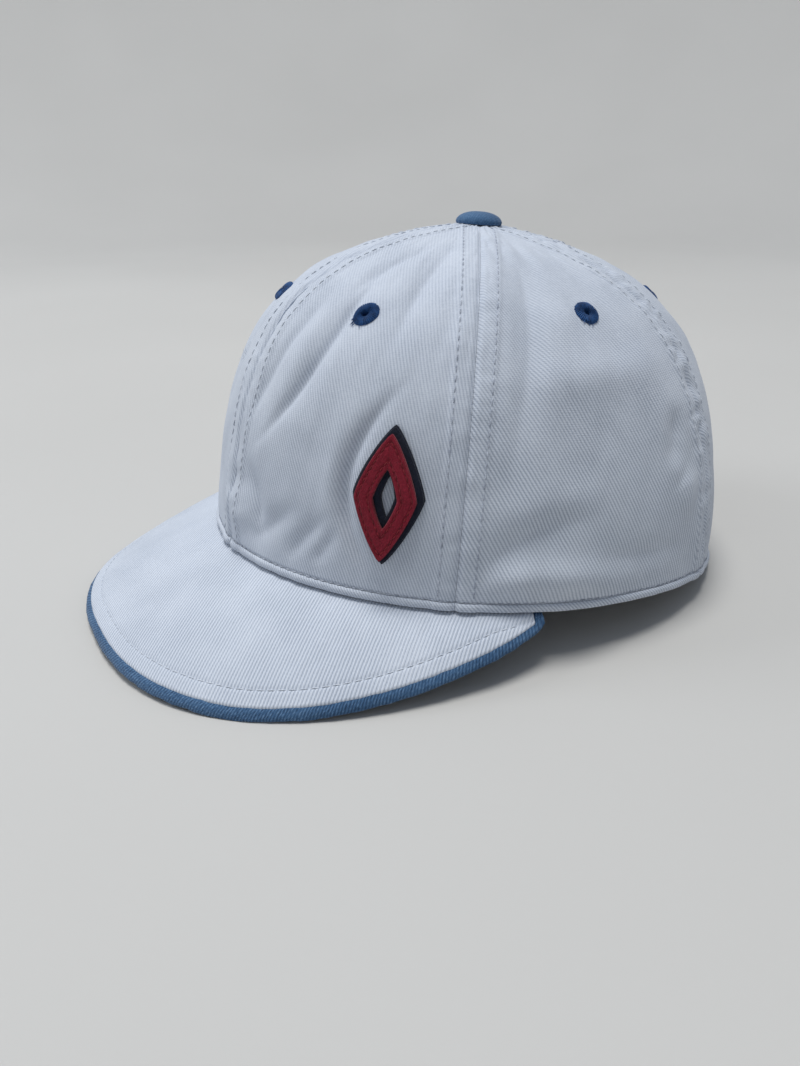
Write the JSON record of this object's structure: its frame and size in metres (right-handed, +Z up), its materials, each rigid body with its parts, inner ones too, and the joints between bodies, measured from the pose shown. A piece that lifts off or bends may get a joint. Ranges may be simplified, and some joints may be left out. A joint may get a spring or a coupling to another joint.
{
  "type": "snapback cap",
  "caption": "Cotton twill cap with a domed crown of sewn panels, a short curved peak with a wrapped edge, a cloth button, vent eyelets, a felt applique and a snap strap at the back.",
  "frame": {"origin": "centre of the part's box, on the surface that it rests on", "axes": "+Z up, -Y the way the peak points, +X the wearer's left"},
  "size_m": [0.1744, 0.2362, 0.123],
  "materials": {
    "crown_twill": "pale cool grey cotton twill, matte",
    "blue_twill": "mid blue cotton twill, matte",
    "eyelet_thread": "dark blue embroidery thread, matte",
    "navy_felt": "dark navy felt, matte",
    "red_felt": "deep red felt, matte",
    "strap_plastic": "moulded blue plastic, satin",
    "band_cloth": "pale grey folded cotton, matte"
  },
  "bodies": {
    "root": {"panel_front_left": "crown_twill", "eyelet_front_left": "eyelet_thread", "panel_side_left": "crown_twill", "eyelet_side_left": "eyelet_thread", "panel_back_left": "crown_twill", "eyelet_back_left": "eyelet_thread", "panel_front_right": "crown_twill", "eyelet_front_right": "eyelet_thread", "panel_side_right": "crown_twill", "eyelet_side_right": "eyelet_thread", "panel_back_right": "crown_twill", "eyelet_back_right": "eyelet_thread", "button": "blue_twill", "peak_top": "crown_twill", "peak_under": "blue_twill", "patch_base": "navy_felt", "patch_top": "red_felt", "snap_strap": "strap_plastic", "sweatband": "band_cloth"}
  },
  "joints": []
}
